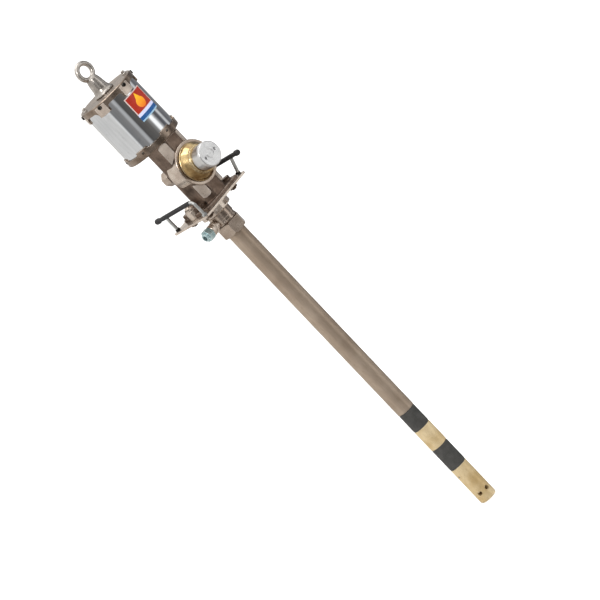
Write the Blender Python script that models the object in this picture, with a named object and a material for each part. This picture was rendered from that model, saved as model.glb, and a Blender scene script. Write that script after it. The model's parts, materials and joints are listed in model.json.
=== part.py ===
"""Air-operated drum barrel pump, as separate solids.

The frame: +Z up, origin at the centre of the closed foot's flat lower face.
-Y is the front, where the air valve's cap and the label are. The two
carrying handles stand on the left (-X) and the right (+X).
Every length below is in millimetres; to_mesh() turns them into metres.
"""
import math

import bmesh
import bpy
from mathutils import Matrix, Vector

MM = 0.001
GAP = 0.3                 # clearance kept between touching solids
ROUND = 28                # sides of a large round piece
MEDIUM = 16               # sides of a medium round piece
SMALL = 10                # sides of a small round piece
GRIP_SIDES = 20
MOTOR_SIDES = 40          # sides of the air cylinder and its piston

# Heights up the pump, from the foot to the lifting eye.
LOWER_SLEEVE_Z = 117.0
BARREL_Z = 189.0
UPPER_SLEEVE_Z = 255.0
TUBE_Z = 314.0
COLLAR_Z = 948.0
TUBE_TOP_Z = 957.7
NECK_Z = 982.0
LOCK_RING_Z = 1017.0
PLATE_Z = 1041.0
COLUMN_Z = 1047.0
MOTOR_Z = 1248.0
CYLINDER_Z = 1266.0
COVER_Z = 1416.0
COVER_TOP_Z = 1430.0
SCREW_Z = 1421.0
EYE_Z = 1502.0

# The suction tube and what is inside it.
TUBE_R = 25.0
TUBE_BORE_R = 21.5
BARREL_BORE_R = 18.0
ROD_R = 9.0
INTAKE_Z = 28.0
INTAKE_R = 6.25
FOOT_BALL_R = 12.0
FOOT_SEAT_R = 9.0
FOOT_SEAT_TOP_Z = 58.0
STOP_PIN_Z = 94.0
PLUNGER_Z = 150.0
PLUNGER_TOP_Z = 195.0
PLUNGER_R = 17.6
TRANSFER_BALL_R = 8.5
TRANSFER_SEAT_R = 6.0

# The outlet body above the collar.
COLLAR_R = 38.0
NECK_R = 33.0
LOCK_RING_R = 45.0
PORT_Z = 995.0
NIPPLE_END = 85.0
BODY_BORE_R = 16.0
PACKING_Z = 1004.0

# The handle plate and the handles.
PLATE_X = 92.0
PLATE_Y = 80.0
PLATE_T = 6.0
HANDLE_X = 85.0
HANDLE_Z = 1096.0
HANDLE_R = 4.0
POST_R = 4.5
LEG_Y = 72.0              # the leg at the bent end
POST_Y = 59.0             # the post near the free end, on the other side of the axis
GRIP_R = 6.2
GRIP_BULB_R = 8.0
FOOT_X = 68.0
FOOT_FRONT_Y = -80.0
FOOT_BACK_Y = 46.0
FOOT_T = 10.0
BOLT_X = 55.0
BOLT_FRONT_Y = -45.0
BOLT_BACK_Y = 30.0

# The column that carries the air motor, and the air valve across it.
COLUMN_X = 42.0
COLUMN_FRONT_Y = -75.0
COLUMN_BACK_Y = 28.0
VALVE_Z = 1155.0
VALVE_R = 52.0
VALVE_BORE_R = 38.0
VALVE_BACK = 21.0         # distances in front of the pump's axis
VALVE_FLANGE = 75.0
BELL = 82.0
CAP = 115.0
CAP_END = 151.0
SIDE_BOSS_Z = 1068.0
SIDE_BOSS_R = 14.0
SIDE_DOME_X = 57.0        # a domed cap stands at the end of each side boss
SIDE_DOME_R = 17.0
SIDE_DOME_TOP = 1084.0

# The air motor.
CYLINDER_R = 78.5
CYLINDER_BORE_R = 75.0
SEAL_BORE_R = 70.0
COVER_R = 82.5
LOBES = 6
LOBE_WIDTH = 36.0
PISTON_Z = 1270.0
PISTON_T = 24.0

# Colour, roughness and metallic value of each finish.
FINISHES = {
    "chrome": ((0.78, 0.79, 0.80), 0.06, 1.0),
    "nickel": ((0.52, 0.46, 0.41), 0.28, 1.0),
    "tube_nickel": ((0.47, 0.42, 0.36), 0.38, 1.0),
    "brass": ((0.72, 0.52, 0.22), 0.22, 1.0),
    "aluminium": ((0.80, 0.80, 0.81), 0.25, 1.0),
    "zinc": ((0.55, 0.61, 0.62), 0.35, 1.0),
    "steel": ((0.45, 0.45, 0.46), 0.30, 1.0),
    "dark_steel": ((0.06, 0.06, 0.06), 0.45, 1.0),
    "tan": ((0.58, 0.46, 0.24), 0.45, 0.6),
    "black": ((0.03, 0.03, 0.03), 0.60, 0.0),
    "seal": ((0.02, 0.02, 0.02), 0.55, 0.0),
    "label": ((0.05, 0.22, 0.30), 0.35, 0.0),
}


# ---------------------------------------------------------------- tools

def clear_scene():
    for obj in list(bpy.data.objects):
        bpy.data.objects.remove(obj, do_unlink=True)


def to_mesh(name, bm, finish):
    """Make an object of the bmesh, in metres, with its own material."""
    bmesh.ops.remove_doubles(bm, verts=bm.verts, dist=0.001)
    bmesh.ops.recalc_face_normals(bm, faces=bm.faces)
    bmesh.ops.scale(bm, vec=(MM, MM, MM), verts=bm.verts)
    mesh = bpy.data.meshes.new(name)
    bm.to_mesh(mesh)
    bm.free()
    mesh.shade_smooth()
    mesh.set_sharp_from_angle(angle=math.radians(35))
    obj = bpy.data.objects.new(name, mesh)
    bpy.context.collection.objects.link(obj)
    color, roughness, metallic = FINISHES[finish]
    material = bpy.data.materials.new(name)
    material.use_nodes = True
    shader = material.node_tree.nodes["Principled BSDF"]
    shader.inputs["Base Color"].default_value = (*color, 1)
    shader.inputs["Roughness"].default_value = roughness
    shader.inputs["Metallic"].default_value = metallic
    mesh.materials.append(material)
    return obj


def add_turned(bm, outline, sides, frame=Matrix()):
    """Turn a closed outline of (radius, height) points about the frame's Z axis."""
    verts = [bm.verts.new((radius, 0, height)) for radius, height in outline]
    pairs = zip(verts, verts[1:] + verts[:1])
    edges = [bm.edges.new(pair) for pair in pairs if pair[0].co.x > 0 or pair[1].co.x > 0]
    before = set(bm.verts) - set(verts)
    bmesh.ops.spin(bm, geom=verts + edges, cent=(0, 0, 0), axis=(0, 0, 1), dvec=(0, 0, 0),
                   angle=math.tau, steps=sides, use_merge=False, use_duplicate=False)
    made = [vert for vert in bm.verts if vert not in before]
    bmesh.ops.remove_doubles(bm, verts=made, dist=0.001)
    made = [vert for vert in bm.verts if vert not in before]
    bmesh.ops.transform(bm, matrix=frame, verts=made)


def add_prism(bm, outline, low, high, frame=Matrix()):
    """Extrude a closed outline of (x, y) points from low to high along the frame's Z axis."""
    face = bm.faces.new([bm.verts.new((x, y, low)) for x, y in outline])
    lower = list(face.verts)
    made = bmesh.ops.extrude_face_region(bm, geom=[face], use_keep_orig=True)["geom"]
    upper = [item for item in made if isinstance(item, bmesh.types.BMVert)]
    bmesh.ops.translate(bm, vec=(0, 0, high - low), verts=upper)
    bmesh.ops.transform(bm, matrix=frame, verts=lower + upper)


def frame_along(axis, origin=(0, 0, 0)):
    """A frame at the origin given, with its Z axis along the axis given."""
    turn = Vector((0, 0, 1)).rotation_difference(Vector(axis)).to_matrix().to_4x4()
    return Matrix.Translation(origin) @ turn


def turned(name, outline, finish, sides=ROUND, frame=Matrix()):
    bm = bmesh.new()
    add_turned(bm, outline, sides, frame)
    return to_mesh(name, bm, finish)


def prism(name, outline, low, high, finish, frame=Matrix()):
    bm = bmesh.new()
    add_prism(bm, outline, low, high, frame)
    return to_mesh(name, bm, finish)


def ring(inner, outer, low, high, chamfer=0.0):
    """The outline of a plain ring, down its outer side, with its outer edges chamfered."""
    if chamfer == 0:
        return [(inner, high), (outer, high), (outer, low), (inner, low)]
    return [(inner, high), (outer - chamfer, high), (outer, high - chamfer),
            (outer, low + chamfer), (outer - chamfer, low), (inner, low)]


def rod(radius, low, high, chamfer=0.0):
    """The outline of a solid cylinder."""
    return ring(0, radius, low, high, chamfer)


def sphere(radius, center, steps=10):
    """The outline of a ball, from its top to its bottom."""
    turns = [math.pi * step / steps for step in range(steps + 1)]
    points = [(radius * math.sin(turn), center + radius * math.cos(turn)) for turn in turns]
    points[0] = (0, center + radius)
    points[-1] = (0, center - radius)
    return points


def polygon(sides, radius, turn=0.0):
    """The corners of a regular polygon; the radius is to its corners."""
    steps = [math.tau * step / sides + turn for step in range(sides)]
    return [(radius * math.cos(step), radius * math.sin(step)) for step in steps]


def rounded_box(left, right, front, back, radius, steps=4):
    """A rectangle in the XY plane with round corners."""
    corners = [(right - radius, back - radius, 0), (left + radius, back - radius, 90),
               (left + radius, front + radius, 180), (right - radius, front + radius, 270)]
    points = []
    for x, y, start in corners:
        for step in range(steps + 1):
            turn = math.radians(start + 90 * step / steps)
            points.append((x + radius * math.cos(turn), y + radius * math.sin(turn)))
    return points


def combine(target, other, operation):
    """Add an EXACT Boolean of another object, which becomes a hidden guide."""
    modifier = target.modifiers.new(operation.lower(), "BOOLEAN")
    modifier.operation = operation
    modifier.solver = "EXACT"
    modifier.object = other
    other.hide_render = True
    other.display_type = "WIRE"


def cut(target, other):
    combine(target, other, "DIFFERENCE")


def join(target, other):
    combine(target, other, "UNION")


def around(count, start=0.0):
    """Angles evenly spaced about the pump's axis, in radians from the front (-Y)."""
    return [math.radians(start + 360 * step / count) for step in range(count)]


def outward(angle):
    """The level direction at an angle from the front, turning towards +X."""
    return Vector((math.sin(angle), -math.cos(angle), 0))


def radial_frame(angle, height):
    """A frame on the pump's axis whose Z axis points outward at the angle."""
    out = outward(angle)
    side = Vector((0, 0, 1)).cross(out)
    turn = Matrix((side, Vector((0, 0, 1)), out)).transposed().to_4x4()
    return Matrix.Translation((0, 0, height)) @ turn


FRONT = frame_along((0, -1, 0), (0, 0, VALVE_Z))


# ---------------------------------------------------------------- suction end

def build_foot():
    housing = turned("foot_valve_housing", [
        (0, 0), (TUBE_R - 3.5, 0), (TUBE_R - 0.5, 3), (TUBE_R - 0.5, LOWER_SLEEVE_Z),
        (20, LOWER_SLEEVE_Z), (20, 49.7), (16, 49.7), (16, 9), (0, 9)][::-1], "tan")
    holes = bmesh.new()
    for angle in around(6):
        add_turned(holes, rod(INTAKE_R, 8, 40), SMALL, radial_frame(angle, INTAKE_Z))
    cut(housing, to_mesh("cut_intake_holes", holes, "tan"))
    pin_holes = turned("cut_pin_holes", rod(2.8, -40, 40), "tan", SMALL,
                       frame_along((1, 0, 0), (0, 0, STOP_PIN_Z)))
    cut(housing, pin_holes)
    turned("ball_stop_pin", rod(2.5, -24, 24), "steel", SMALL, frame_along((1, 0, 0), (0, 0, STOP_PIN_Z)))
    turned("foot_valve_seat", [
        (FOOT_SEAT_R, FOOT_SEAT_TOP_Z), (19.7, FOOT_SEAT_TOP_Z), (19.7, 50), (FOOT_SEAT_R, 50)],
        "steel", MEDIUM)
    ball_z = FOOT_SEAT_TOP_Z + math.sqrt(FOOT_BALL_R ** 2 - FOOT_SEAT_R ** 2) + GAP
    turned("foot_ball", sphere(FOOT_BALL_R, ball_z), "chrome", MEDIUM)


def build_barrel():
    turned("pump_barrel", [
        (BARREL_BORE_R, 330), (21, 330), (21, UPPER_SLEEVE_Z - GAP), (TUBE_R, UPPER_SLEEVE_Z - GAP),
        (TUBE_R, BARREL_Z + GAP), (21, BARREL_Z + GAP), (21, 121), (19.7, 121),
        (19.7, 105), (BARREL_BORE_R, 105)], "tan")
    turned("lower_black_sleeve", ring(21.3, TUBE_R, LOWER_SLEEVE_Z + GAP, BARREL_Z, 0.5), "black")
    turned("upper_black_sleeve", ring(21.3, TUBE_R, UPPER_SLEEVE_Z, TUBE_Z - GAP, 0.5), "black")
    turned("suction_tube", ring(TUBE_BORE_R, TUBE_R, TUBE_Z, TUBE_TOP_Z), "tube_nickel")


def build_plunger():
    cavity_low = PLUNGER_Z + 8
    cavity_high = 182.0
    plunger = turned("plunger", [
        (9.3, PLUNGER_TOP_Z), (PLUNGER_R, PLUNGER_TOP_Z), (PLUNGER_R, 191), (15.5, 191),
        (15.5, 188), (PLUNGER_R, 188), (PLUNGER_R, PLUNGER_Z), (TRANSFER_SEAT_R, PLUNGER_Z),
        (TRANSFER_SEAT_R, cavity_low), (12, cavity_low), (12, cavity_high), (9.3, cavity_high)],
        "steel", MEDIUM)
    windows = bmesh.new()
    for angle in around(4):
        add_turned(windows, rod(3.5, 10, 30), SMALL, radial_frame(angle, 176))
    cut(plunger, to_mesh("cut_plunger_windows", windows, "steel"))
    turned("plunger_seal", ring(15.8, 17.75, 188 + GAP, 191 - GAP), "seal", MEDIUM)
    ball_z = cavity_low + math.sqrt(TRANSFER_BALL_R ** 2 - TRANSFER_SEAT_R ** 2) + GAP
    turned("transfer_ball", sphere(TRANSFER_BALL_R, ball_z, 8), "chrome", SMALL)
    turned("pump_rod", rod(ROD_R, cavity_high + 2, 1074.7), "steel", MEDIUM)
    turned("piston_rod", rod(ROD_R, 1075, 1304, 1), "chrome", MEDIUM)
    turned("rod_coupling", ring(ROD_R + GAP, 13, 1058, 1092, 1), "steel", MEDIUM)


# ---------------------------------------------------------------- outlet body

def build_collar():
    collar = prism("tube_collar", polygon(6, COLLAR_R, math.radians(-7)), COLLAR_Z, NECK_Z - GAP, "nickel")
    bore = turned("cut_collar_bore", [
        (0, NECK_Z + 5), (27.3, NECK_Z + 5), (27.3, TUBE_TOP_Z + GAP), (TUBE_R + GAP, TUBE_TOP_Z + GAP),
        (TUBE_R + GAP, COLLAR_Z - 5), (0, COLLAR_Z - 5)], "nickel")
    cut(collar, bore)
    rim = turned("cut_collar_rim", [
        (COLLAR_R + 6, NECK_Z), (COLLAR_R - 4.5, NECK_Z), (COLLAR_R - 1, NECK_Z - 4),
        (COLLAR_R - 1, COLLAR_Z + 4),
        (COLLAR_R - 4.5, COLLAR_Z - GAP), (COLLAR_R + 6, COLLAR_Z - GAP)][::-1], "nickel")
    cut(collar, rim)


def build_outlet_body():
    body = turned("outlet_body", [
        (BODY_BORE_R, PLATE_Z - GAP), (30, PLATE_Z - GAP), (30, LOCK_RING_Z), (NECK_R, LOCK_RING_Z),
        (NECK_R, NECK_Z), (27, NECK_Z), (27, TUBE_TOP_Z + 2 * GAP), (20, TUBE_TOP_Z + 2 * GAP),
        (20, PORT_Z - 15), (14, PORT_Z - 8), (14, PACKING_Z), (BODY_BORE_R, PACKING_Z)], "nickel")
    port = turned("cut_side_port", rod(12, 20, 50), "nickel", MEDIUM, frame_along((-1, 0, 0), (0, 0, PORT_Z)))
    passage = turned("cut_side_passage", rod(7, 8, 30), "nickel", SMALL,
                     frame_along((-1, 0, 0), (0, 0, PORT_Z)))
    cut(body, port)
    cut(body, passage)
    turned("rod_packing", ring(ROD_R + GAP, BODY_BORE_R - GAP, PACKING_Z + GAP, 1022), "seal", MEDIUM)
    turned("packing_nut", ring(ROD_R + GAP, BODY_BORE_R - GAP, 1022.3, 1040), "brass", MEDIUM)
    outline = polygon(12, LOCK_RING_R, math.radians(15))
    lock_ring = prism("lock_ring", outline, LOCK_RING_Z + GAP, 1036, "nickel")
    cut(lock_ring, turned("cut_lock_ring_bore", rod(30.3, 1000, 1045), "nickel"))
    notches = bmesh.new()
    for angle in around(8, 10):
        frame = Matrix.Rotation(angle, 4, "Z")
        add_prism(notches, rounded_box(-6, 6, -50, -38.5, 2, 1), LOCK_RING_Z + 3, 1033, frame)
    cut(lock_ring, to_mesh("cut_lock_ring_notches", notches, "nickel"))


def build_side_fitting():
    frame = frame_along((-1, 0, 0), (0, 0, PORT_Z))
    turned("outlet_coupling", [
        (7, 60), (14, 60), (15.5, 58), (15.5, 50), (13, 48), (13, 45), (16, 43), (16, 39), (12.8, 38.5),
        (12.8, 34), (11.7, 33), (11.7, 21), (7, 21)][::-1], "nickel", MEDIUM, frame)
    nipple = prism("outlet_nipple", polygon(6, 17.5, math.radians(30)), 60.3, 78, "zinc", frame)
    tip = turned("guide_nipple_tip", rod(11.5, 77, NIPPLE_END, 1.5), "zinc", MEDIUM, frame)
    join(nipple, tip)
    cut(nipple, turned("cut_nipple_bore", rod(7, 55, 95), "zinc", SMALL, frame))


# ---------------------------------------------------------------- plate and handles

def build_plate():
    plate = prism("handle_plate", rounded_box(-PLATE_X, PLATE_X, -PLATE_Y, PLATE_Y, 10),
                  PLATE_Z, PLATE_Z + PLATE_T - GAP, "nickel")
    holes = bmesh.new()
    add_turned(holes, rod(BODY_BORE_R, 1030, 1060), MEDIUM)
    for number, (x, y) in enumerate(bolt_places(), 1):
        place = Matrix.Translation((x, y, 0))
        add_turned(holes, rod(6.3, 1030, 1060), SMALL, place)
        head_z = COLUMN_Z + FOOT_T + GAP
        bolt = turned(f"plate_bolt_{number}", rod(11.5, head_z, head_z + 10, 1.2), "dark_steel", 6, place)
        join(bolt, turned(f"guide_bolt_shank_{number}", rod(6, 1027, head_z + 2), "dark_steel", SMALL, place))
        nut = turned(f"plate_nut_{number}", rod(11.5, 1030, PLATE_Z - GAP, 1.2), "dark_steel", 6, place)
        cut(nut, turned(f"cut_nut_bore_{number}", rod(6.3, 1020, 1050), "dark_steel", SMALL, place))
    cut(plate, to_mesh("cut_plate_holes", holes, "nickel"))


def bolt_places():
    """The four bolts that clamp the column's foot to the plate."""
    return [(x, y) for x in (-BOLT_X, BOLT_X) for y in (BOLT_FRONT_Y, BOLT_BACK_Y)]


def build_handle(side, name, overhang, splay, lean):
    """A bent rod with a post near its free end; side is -1 on the left, where the bent end is in front.

    The rod is drawn with its foot line at x = 0, then leaned outward by the splay and moved to its side.
    The post leans by its own angle towards the free end.
    """
    foot_z = PLATE_Z + PLATE_T + 1
    top = HANDLE_Z - foot_z
    bend = 12.0
    free_end = POST_Y + overhang
    outward_lean = Matrix.Rotation(math.radians(splay) * side, 4, "Y")
    place = Matrix.Translation((side * HANDLE_X, 0, foot_z)) @ outward_lean
    turn = Matrix.Rotation(math.pi if side > 0 else 0, 4, "Z")
    frame = place @ turn
    corner = [(-LEG_Y + bend - bend * math.cos(step), top - bend + bend * math.sin(step))
              for step in (math.pi / 2 * index / 6 for index in range(7))]
    route = [(-LEG_Y, 0)] + corner + [(free_end, top)]
    curve = bpy.data.curves.new(name, "CURVE")
    curve.dimensions = "3D"
    curve.bevel_depth = HANDLE_R * MM
    curve.bevel_resolution = 2
    curve.use_fill_caps = True
    spline = curve.splines.new("POLY")
    spline.points.add(len(route) - 1)
    for point, (y, z) in zip(spline.points, route):
        point.co = (*(frame @ Vector((0, y, z)) * MM), 1)
    rod_bm = bmesh.new()
    path = bpy.data.objects.new(name + "_path", curve)
    rod_bm.from_mesh(path.to_mesh())
    path.to_mesh_clear()
    bpy.data.objects.remove(path)
    bmesh.ops.scale(rod_bm, vec=(1 / MM,) * 3, verts=rod_bm.verts)
    handle = to_mesh(name, rod_bm, "zinc")
    tilt = math.radians(lean)
    post_frame = frame @ Matrix.Translation((0, POST_Y, 0)) @ Matrix.Rotation(-tilt, 4, "X")
    post_top = (top - 1.3) / math.cos(tilt)
    post = rod(POST_R, POST_R * math.sin(tilt), post_top)
    join(handle, turned("guide_post_" + name, post, "zinc", SMALL, post_frame))
    build_grip(name.replace("handle", "grip"), frame, top, free_end, bend, post_frame, post_top + 1.3)


def build_grip(name, frame, top, free_end, bend, post_frame, post_hole):
    """A soft sleeve over the handle's bar, with a thicker closed outer end and a hole for the post."""
    bar = frame @ Matrix.Translation((0, 0, top)) @ frame_along((0, 1, 0))
    start = -LEG_Y + bend + 1
    bore = HANDLE_R + GAP
    end = free_end + GAP
    grip = turned(name, [
        (bore, start), (GRIP_R - 1, start), (GRIP_R, start + 1), (GRIP_R, end - 12), (GRIP_BULB_R, end - 9),
        (GRIP_BULB_R, end + 1), (GRIP_BULB_R - 2.5, end + 4), (0, end + 5), (0, end), (bore, end)],
        "black", GRIP_SIDES, bar)
    cut(grip, turned("cut_" + name, rod(4.8, 0, post_hole), "black", SMALL, post_frame))


# ---------------------------------------------------------------- column and air valve

def build_column():
    front = COLUMN_FRONT_Y
    section = [(COLUMN_X, -5), (16, COLUMN_BACK_Y), (-16, COLUMN_BACK_Y), (-COLUMN_X, -5),
               (-COLUMN_X, front + 22), (-20, front), (20, front), (COLUMN_X, front + 22)]
    top = MOTOR_Z - GAP
    column = prism("center_body", section, COLUMN_Z, top, "nickel")
    foot = rounded_box(-FOOT_X, FOOT_X, FOOT_FRONT_Y + 4, FOOT_BACK_Y, 12)
    join(column, prism("guide_column_foot", foot, COLUMN_Z, COLUMN_Z + FOOT_T, "nickel"))
    for side in (-1, 1):
        corner = Matrix.Translation((side * 31, front + 11, 0))
        frame = corner @ Matrix.Rotation(side * math.radians(45), 4, "Z")
        pad = rounded_box(-13, 13, -4, 5, 2, 2)
        join(column, prism(f"guide_pad_{side + 1}", pad, 1072, top - 0.5, "nickel", frame))
    barrel = rod(VALVE_R, VALVE_BACK, VALVE_FLANGE, 1.5)
    join(column, turned("guide_valve_barrel", barrel, "nickel", ROUND, FRONT))
    for side in (-1, 1):
        boss = frame_along((side, 0, 0), (0, 0, SIDE_BOSS_Z))
        join(column, turned(f"guide_side_boss_{side + 1}", rod(SIDE_BOSS_R, 20, SIDE_DOME_X, 1), "nickel",
                            MEDIUM, boss))
        dome = [(0, COLUMN_Z), (SIDE_DOME_R, COLUMN_Z), (SIDE_DOME_R, SIDE_DOME_TOP - 14),
                (SIDE_DOME_R - 4, SIDE_DOME_TOP - 5), (SIDE_DOME_R - 11, SIDE_DOME_TOP - 1),
                (0, SIDE_DOME_TOP)]
        join(column, turned(f"guide_side_dome_{side + 1}", dome, "nickel", MEDIUM,
                            Matrix.Translation((side * SIDE_DOME_X, 0, 0))))
    holes = bmesh.new()
    add_turned(holes, rod(BODY_BORE_R, COLUMN_Z - 5, MOTOR_Z + 5), MEDIUM)
    for x, y in bolt_places():
        add_turned(holes, rod(6.3, COLUMN_Z - 5, COLUMN_Z + FOOT_T + 5), SMALL, Matrix.Translation((x, y, 0)))
    add_turned(holes, rod(VALVE_BORE_R, 22, 90), ROUND, FRONT)
    cut(column, to_mesh("cut_column_holes", holes, "nickel"))
    inlet = frame_along((0, 1, 0), (0, 0, VALVE_Z))
    fitting = turned("inlet_fitting", rod(22, COLUMN_BACK_Y + GAP, 56, 1.5), "nickel", 8, inlet)
    cut(fitting, turned("cut_inlet_socket", rod(10, 36, 60), "nickel", MEDIUM, inlet))


def build_valve():
    turned("valve_liner", ring(30, VALVE_BORE_R - GAP, 22 + GAP, 72), "brass", ROUND, FRONT)
    turned("valve_spool", [
        (0, 106), (7, 106), (8, 105), (8, 68), (29.5, 68), (29.5, 58), (10, 56), (10, 40),
        (29.5, 38), (29.5, 36), (25, 36), (25, 32), (29.5, 32), (29.5, 26), (0, 26)], "steel", ROUND, FRONT)
    turned("spool_seal", ring(25.3, 29.7, 32.3, 35.7), "seal", ROUND, FRONT)
    turned("valve_flange", ring(34, 60, VALVE_FLANGE + GAP, BELL, 1.5), "nickel", ROUND, FRONT)
    bell = [(52, BELL + GAP), (52, BELL + 4), (49.5, BELL + 9), (44, BELL + 17), (39, BELL + 24),
            (36.5, CAP - GAP), (26, CAP - GAP), (26, CAP - 6), (34, BELL + 14), (38, BELL + GAP)]
    turned("brass_bell", bell, "brass", ROUND, FRONT)
    cap = turned("end_cap", [
        (0, CAP_END), (29, CAP_END), (32.5, CAP_END - 1.5), (34, CAP_END - 5), (34, CAP), (25.7, CAP),
        (25.7, CAP - 5), (22, CAP - 5), (22, CAP + 8), (0, CAP + 8)], "aluminium", ROUND, FRONT)
    holes = bmesh.new()
    for x in (-19.5, 19.5):
        add_turned(holes, rod(3.8, CAP_END - 9, CAP_END + 5), SMALL, FRONT @ Matrix.Translation((x, 0, 0)))
    cut(cap, to_mesh("cut_cap_holes", holes, "aluminium"))


# ---------------------------------------------------------------- air motor

def lobed_head(name, face_z, edge_z, lobe_z, rim):
    """A round head whose skirt reaches over the cylinder to edge_z, and in six lobes to lobe_z."""
    skirt = CYLINDER_R + GAP
    head = turned(name, [(0, face_z), (rim - 2, face_z), (rim, face_z + (edge_z - face_z) * 0.15),
                         (rim, lobe_z), (skirt, lobe_z),
                         (skirt, edge_z + (face_z - edge_z) * 0.05), (0, edge_z + (face_z - edge_z) * 0.05)],
                  "nickel", MOTOR_SIDES)
    gaps = bmesh.new()
    gap = math.tau * rim / LOBES - LOBE_WIDTH
    beyond = lobe_z + (lobe_z - edge_z)
    outline = [(-gap / 2 - 5, beyond), (gap / 2 + 5, beyond), (gap / 2, (lobe_z + edge_z) / 2),
               (gap / 2 - 4, edge_z), (-gap / 2 + 4, edge_z), (-gap / 2, (lobe_z + edge_z) / 2)]
    for angle in around(LOBES, 180 / LOBES):
        add_prism(gaps, outline, skirt - 4, rim + 10, radial_frame(angle, 0))
    cut(head, to_mesh("cut_gaps_" + name, gaps, "nickel"))
    return head


def build_motor():
    base = lobed_head("bottom_head", MOTOR_Z, CYLINDER_Z, CYLINDER_Z + 7, COVER_R)
    cut(base, turned("cut_base_hole", rod(BODY_BORE_R, MOTOR_Z - 5, CYLINDER_Z + 5), "nickel", MEDIUM))
    turned("rod_bush", [
        (ROD_R + GAP, MOTOR_Z - GAP), (BODY_BORE_R - GAP, MOTOR_Z - GAP), (BODY_BORE_R - GAP, 1212),
        (ROD_R + GAP, 1212)], "brass", MEDIUM)
    turned("rod_seal", ring(ROD_R + GAP, BODY_BORE_R - GAP, MOTOR_Z, MOTOR_Z + 10), "seal", MEDIUM)
    shell = ring(CYLINDER_BORE_R, CYLINDER_R, CYLINDER_Z + GAP, COVER_Z - GAP)
    turned("cylinder_tube", shell, "chrome", MOTOR_SIDES)
    low_seal = ring(SEAL_BORE_R, CYLINDER_BORE_R - GAP, CYLINDER_Z + GAP, CYLINDER_Z + 3)
    turned("base_seal", low_seal, "seal", MOTOR_SIDES)
    groove = PISTON_Z + PISTON_T / 2
    turned("air_piston", [
        (ROD_R + GAP, PISTON_Z + PISTON_T), (73.5, PISTON_Z + PISTON_T), (73.5, groove + 3), (67, groove + 3),
        (67, groove - 3), (73.5, groove - 3), (73.5, PISTON_Z), (ROD_R + GAP, PISTON_Z)],
        "aluminium", MOTOR_SIDES)
    turned("piston_seal", ring(67.3, 74.2, groove - 2.7, groove + 2.7), "seal", MOTOR_SIDES)
    nut = turned("piston_nut", rod(16, PISTON_Z + PISTON_T + GAP, 1302, 1.5), "steel", 6)
    cut(nut, turned("cut_piston_nut", rod(ROD_R + GAP, 1280, 1320), "steel", MEDIUM))
    cover = lobed_head("top_head", COVER_TOP_Z, COVER_Z - 2, COVER_Z - 19, COVER_R)
    cut(cover, turned("cut_cover_recess", rod(CYLINDER_R + GAP, 1380, COVER_Z), "nickel", MOTOR_SIDES))
    high_seal = ring(SEAL_BORE_R, CYLINDER_BORE_R - GAP, COVER_Z - 3, COVER_Z - GAP)
    turned("cover_seal", high_seal, "seal", MOTOR_SIDES)
    for number, angle in enumerate(around(LOBES), 1):
        frame = radial_frame(angle, SCREW_Z)
        head = rod(5.5, COVER_R + GAP, COVER_R + 4, 0.6)
        screw = turned(f"head_screw_{number}", head, "dark_steel", SMALL, frame)
        socket = rod(2.8, COVER_R + 2, COVER_R + 8)
        cut(screw, turned(f"cut_head_socket_{number}", socket, "dark_steel", 6, frame))


def build_eye():
    eye = turned("lifting_eye", [
        (0, 1480), (12, 1480), (15.5, 1474), (18, 1462), (20.5, 1444), (24, 1436), (29, COVER_TOP_Z + GAP),
        (0, COVER_TOP_Z + GAP)], "nickel", MEDIUM)
    wire = bmesh.new()
    add_turned(wire, [(22.6 + 6.4 * math.cos(step), 6.4 * math.sin(step)) for step in around(12)], MEDIUM,
               frame_along((0, -1, 0), (0, 0, EYE_Z)))
    join(eye, to_mesh("guide_eye_wire", wire, "nickel"))


def build_label():
    low = 1319.0
    high = 1393.0
    inner = CYLINDER_R + GAP
    steps = [math.radians(-20 + 50 * step / 10) for step in range(11)]
    outside = [outward(step) * (inner + 0.6) for step in steps]
    inside = [outward(step) * inner for step in reversed(steps)]
    prism("label_plate", [(point.x, point.y) for point in outside + inside], low, high, "label")


clear_scene()
build_foot()
build_barrel()
build_plunger()
build_collar()
build_outlet_body()
build_side_fitting()
build_plate()
build_handle(-1, "handle_left", 40.0, 1.0, 0.0)
build_handle(1, "handle_right", 50.0, 8.0, 18.0)
build_column()
build_valve()
build_motor()
build_eye()
build_label()
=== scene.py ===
"""Looks of the air-operated drum pump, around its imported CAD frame.

Shapes are drawn in millimetres, +Z up, with the front (valve cap and label) towards -Y,
and become metres when a piece is made.
"""
import json
import math

import bmesh
import bpy
from mathutils import Matrix, Vector


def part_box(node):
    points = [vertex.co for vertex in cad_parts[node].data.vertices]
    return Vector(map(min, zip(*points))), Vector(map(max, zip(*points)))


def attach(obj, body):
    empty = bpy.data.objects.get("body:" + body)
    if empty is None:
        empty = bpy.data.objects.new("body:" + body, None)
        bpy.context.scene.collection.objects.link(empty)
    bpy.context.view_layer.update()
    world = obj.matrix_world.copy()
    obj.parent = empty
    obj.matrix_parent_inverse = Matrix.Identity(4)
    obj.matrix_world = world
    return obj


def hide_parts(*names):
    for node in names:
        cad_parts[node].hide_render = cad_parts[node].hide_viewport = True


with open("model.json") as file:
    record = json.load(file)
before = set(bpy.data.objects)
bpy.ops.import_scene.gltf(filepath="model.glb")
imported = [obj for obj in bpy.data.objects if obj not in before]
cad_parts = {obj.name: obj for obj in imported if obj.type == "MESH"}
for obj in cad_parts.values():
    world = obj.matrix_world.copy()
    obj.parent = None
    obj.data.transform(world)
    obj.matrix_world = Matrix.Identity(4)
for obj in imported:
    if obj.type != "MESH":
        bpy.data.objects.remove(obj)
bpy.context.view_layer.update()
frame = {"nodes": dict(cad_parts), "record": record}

MM = 0.001
FINE = 96                 # sides of a large round piece
SMOOTH = 48               # sides of a medium round piece
COARSE = 24               # sides of a small round piece
BODY = "pump"


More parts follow.
